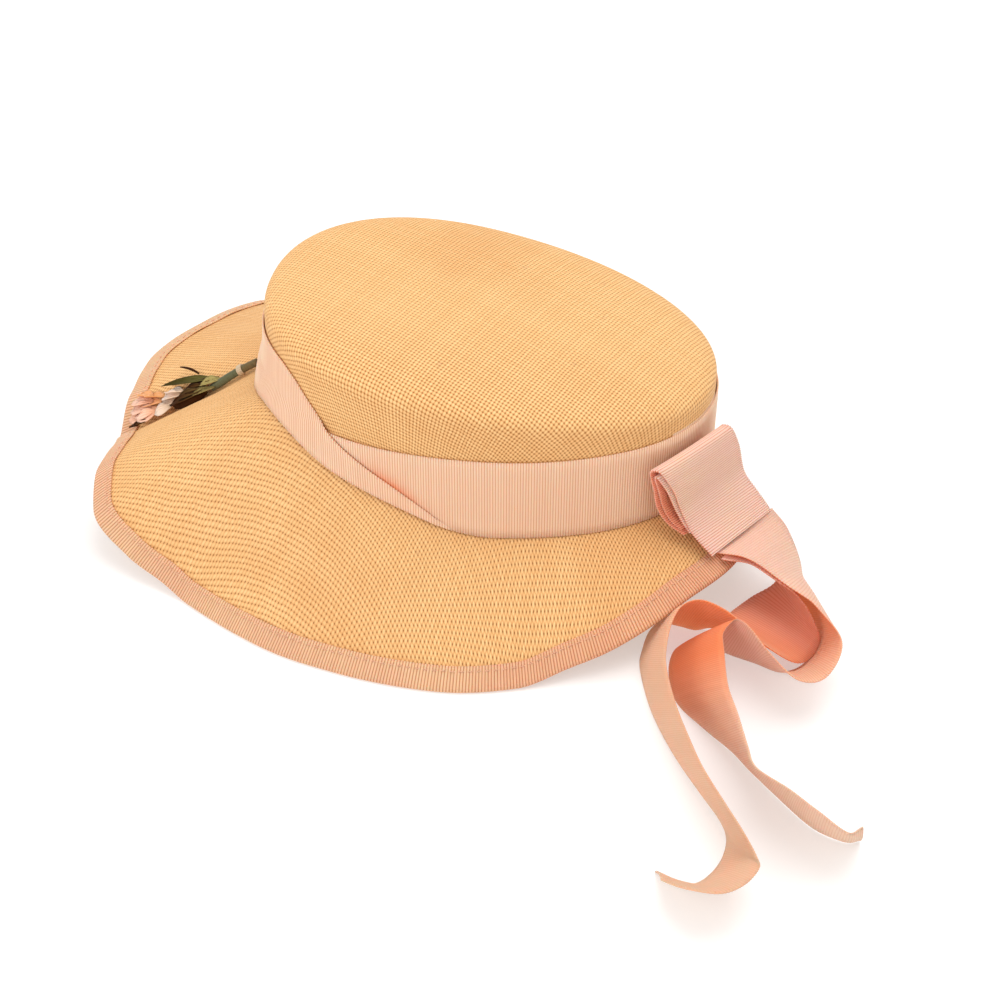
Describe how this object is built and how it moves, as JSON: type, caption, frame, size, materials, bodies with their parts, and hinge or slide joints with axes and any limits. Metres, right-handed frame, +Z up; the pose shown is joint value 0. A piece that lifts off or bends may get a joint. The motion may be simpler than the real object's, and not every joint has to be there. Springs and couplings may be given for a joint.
{
  "type": "straw hat",
  "caption": "Lady's straw hat with a low oval crown, a wide drooping brim, a pink corded ribbon band with a bow and long streamers, and a small spray of cloth flowers.",
  "frame": {"origin": "middle of the bottom of the bounding box, on the surface that the hat rests on", "axes": "+X toward the wearer's left, where the streamers run; +Y toward the back, where the bow is; +Z up"},
  "size_m": [0.3455, 0.3512, 0.1192],
  "materials": {
    "straw": "matt open-weave straw cloth",
    "ribbon": "matt corded ribbon with a faint sheen",
    "binding": "matt corded ribbon, a little darker",
    "stem_green": "matt cloth-wrapped wire",
    "thread": "matt thread",
    "leaf_green": "matt cloth",
    "leaf_brown": "matt cloth",
    "petal_white": "matt cloth",
    "petal_pink": "matt cloth"
  },
  "bodies": {
    "root": {"crown": "straw", "brim": "straw", "brim_binding": "binding", "crown_band": "ribbon", "band_overlap": "ribbon", "band_end": "ribbon", "bow_outer": "ribbon", "bow_inner": "ribbon", "streamer_one": "ribbon", "streamer_two": "ribbon", "flower_stem": "stem_green", "stem_tie": "thread", "flower_calyx": "leaf_brown", "leaf_long": "leaf_green", "leaf_short": "leaf_brown", "flower_sprig": "leaf_brown", "petals_white": "petal_white", "petals_pink": "petal_pink", "flower_sepals": "leaf_brown"}
  },
  "joints": []
}
